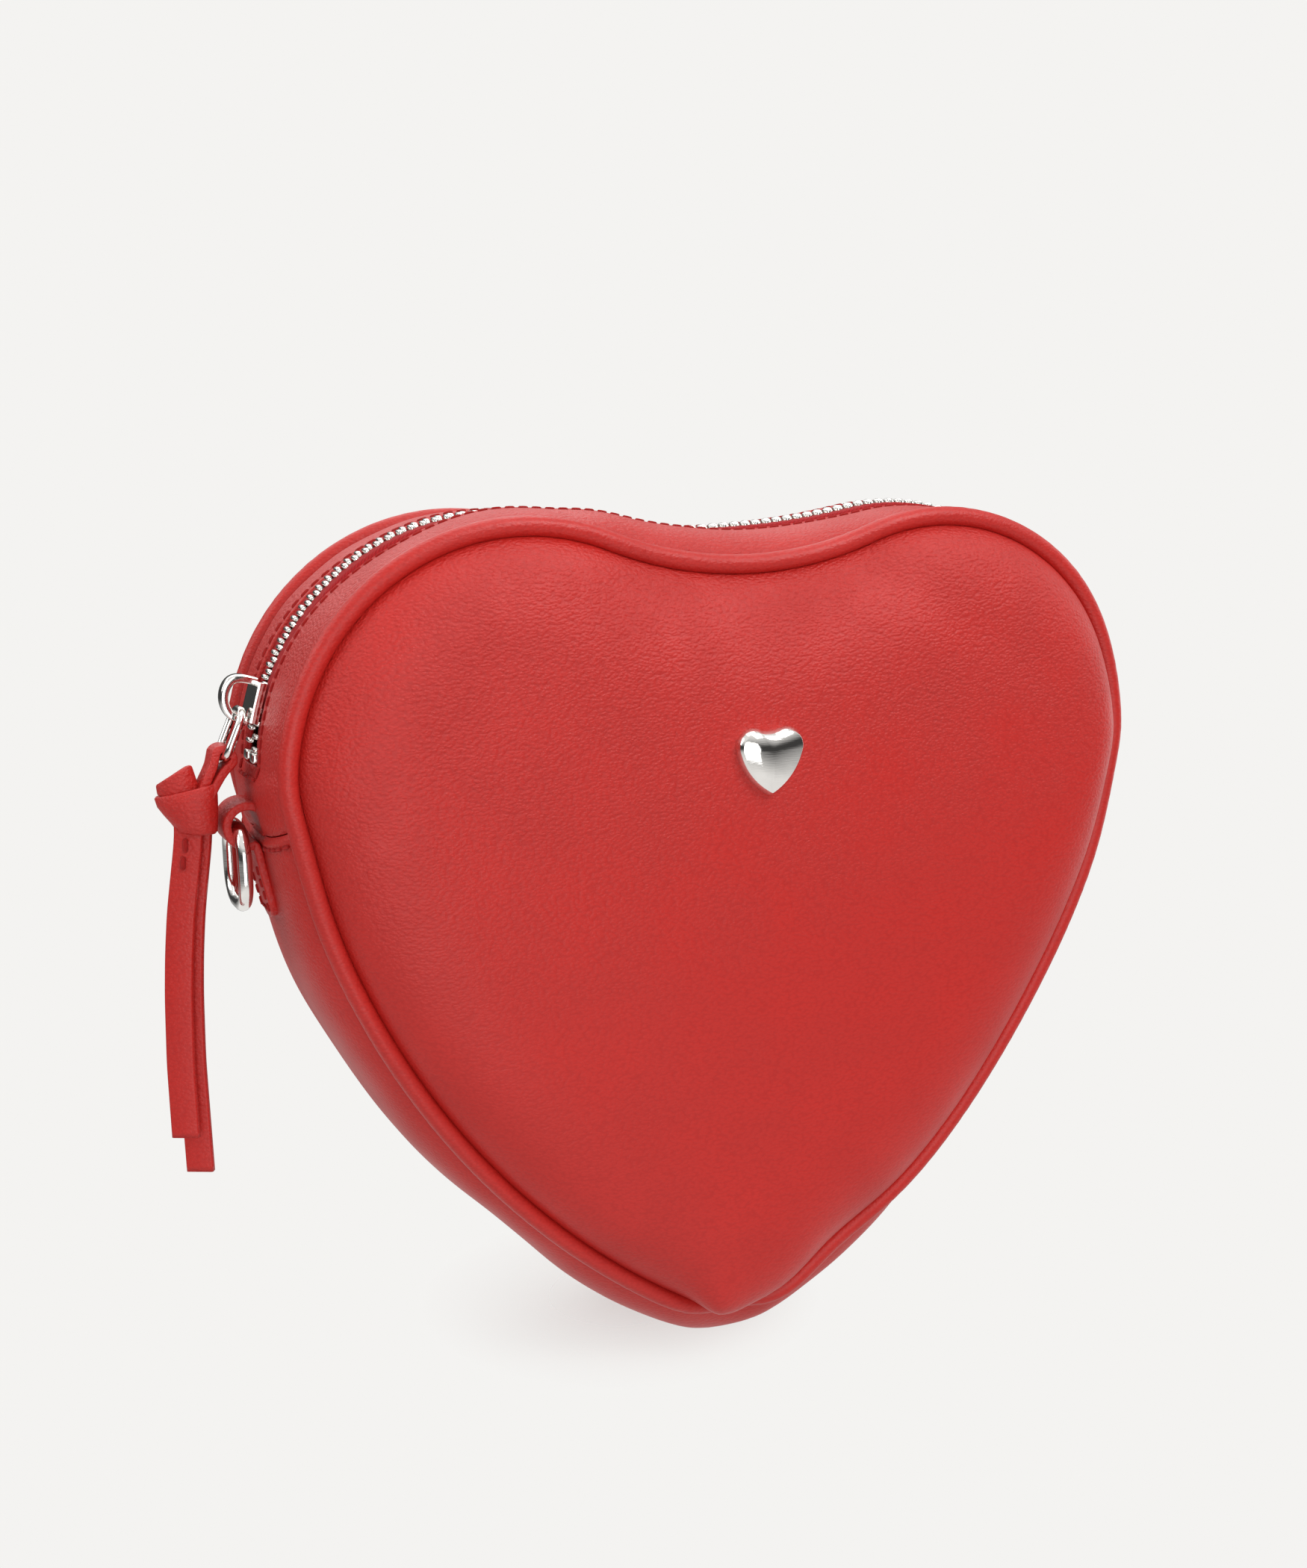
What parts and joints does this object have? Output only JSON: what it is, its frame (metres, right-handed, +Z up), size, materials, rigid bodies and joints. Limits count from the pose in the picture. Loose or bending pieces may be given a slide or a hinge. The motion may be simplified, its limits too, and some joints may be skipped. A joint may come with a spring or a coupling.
{
  "type": "heart-shaped purse",
  "caption": "Puffed heart-shaped leather purse with piped edges, a zip over its top, a knotted thong pull and strap rings at its sides.",
  "frame": {"origin": "on the floor, in the middle of the flat spot under the tip", "axes": "front faces -Y, +X to the right of a viewer who looks at the front, +Z up; the purse stands on its tip"},
  "size_m": [0.2351, 0.0784, 0.1959],
  "materials": {
    "leather": "red coated faux leather with fine pebble grain, satin",
    "lining": "plain woven lining, matte",
    "foam": "open-cell padding, matte",
    "zip_tape": "woven tape, matte",
    "zip_metal": "bright nickel plate",
    "ring_metal": "polished nickel plate",
    "washer_metal": "plain steel, hidden behind the panel"
  },
  "bodies": {
    "bag": {"front_panel": "leather", "back_panel": "leather", "front_pad": "foam", "back_pad": "foam", "lining": "lining", "lower_gusset": "leather", "upper_gusset": "leather", "front_piping": "leather", "back_piping": "leather", "zip_tape_front": "zip_tape", "zip_tape_back": "zip_tape", "zip_teeth_front": "zip_metal", "zip_teeth_back": "zip_metal", "zip_end_stops": "zip_metal", "tab_left": "leather", "tab_right": "leather", "front_stud": "ring_metal", "stud_washer": "washer_metal"},
    "slider": {"zip_slider": "zip_metal", "zip_slider_crown": "zip_metal"},
    "link": {"pull_link": "zip_metal"},
    "pull": {"pull_strap": "leather"},
    "ring_left": {"strap_ring_left": "ring_metal"},
    "ring_right": {"strap_ring_right": "ring_metal"}
  },
  "joints": [
    {"name": "zip_travel", "type": "hinge", "parent": "bag", "child": "slider", "pos_m": [-0.0492, 0, 0.1419], "axis": [0, 1, 0], "range_deg": [0, 78], "deforming": ["zip_teeth_front", "zip_teeth_back", "zip_tape_front", "zip_tape_back"]},
    {"name": "link_swing", "type": "hinge", "parent": "slider", "child": "link", "pos_m": [-0.10369, 0, 0.15573], "axis": [0, 1, 0], "range_deg": [0, 100]},
    {"name": "pull_swing", "type": "hinge", "parent": "link", "child": "pull", "pos_m": [-0.108, 0, 0.14605], "axis": [0, 1, 0], "range_deg": [0, 60]},
    {"name": "ring_left_swing", "type": "hinge", "parent": "bag", "child": "ring_left", "pos_m": [-0.10607, 0, 0.1315], "axis": [0, 1, 0], "range_deg": [0, 14]},
    {"name": "ring_right_swing", "type": "hinge", "parent": "bag", "child": "ring_right", "pos_m": [0.10607, 0, 0.1315], "axis": [0, -1, 0], "range_deg": [0, 100]}
  ]
}
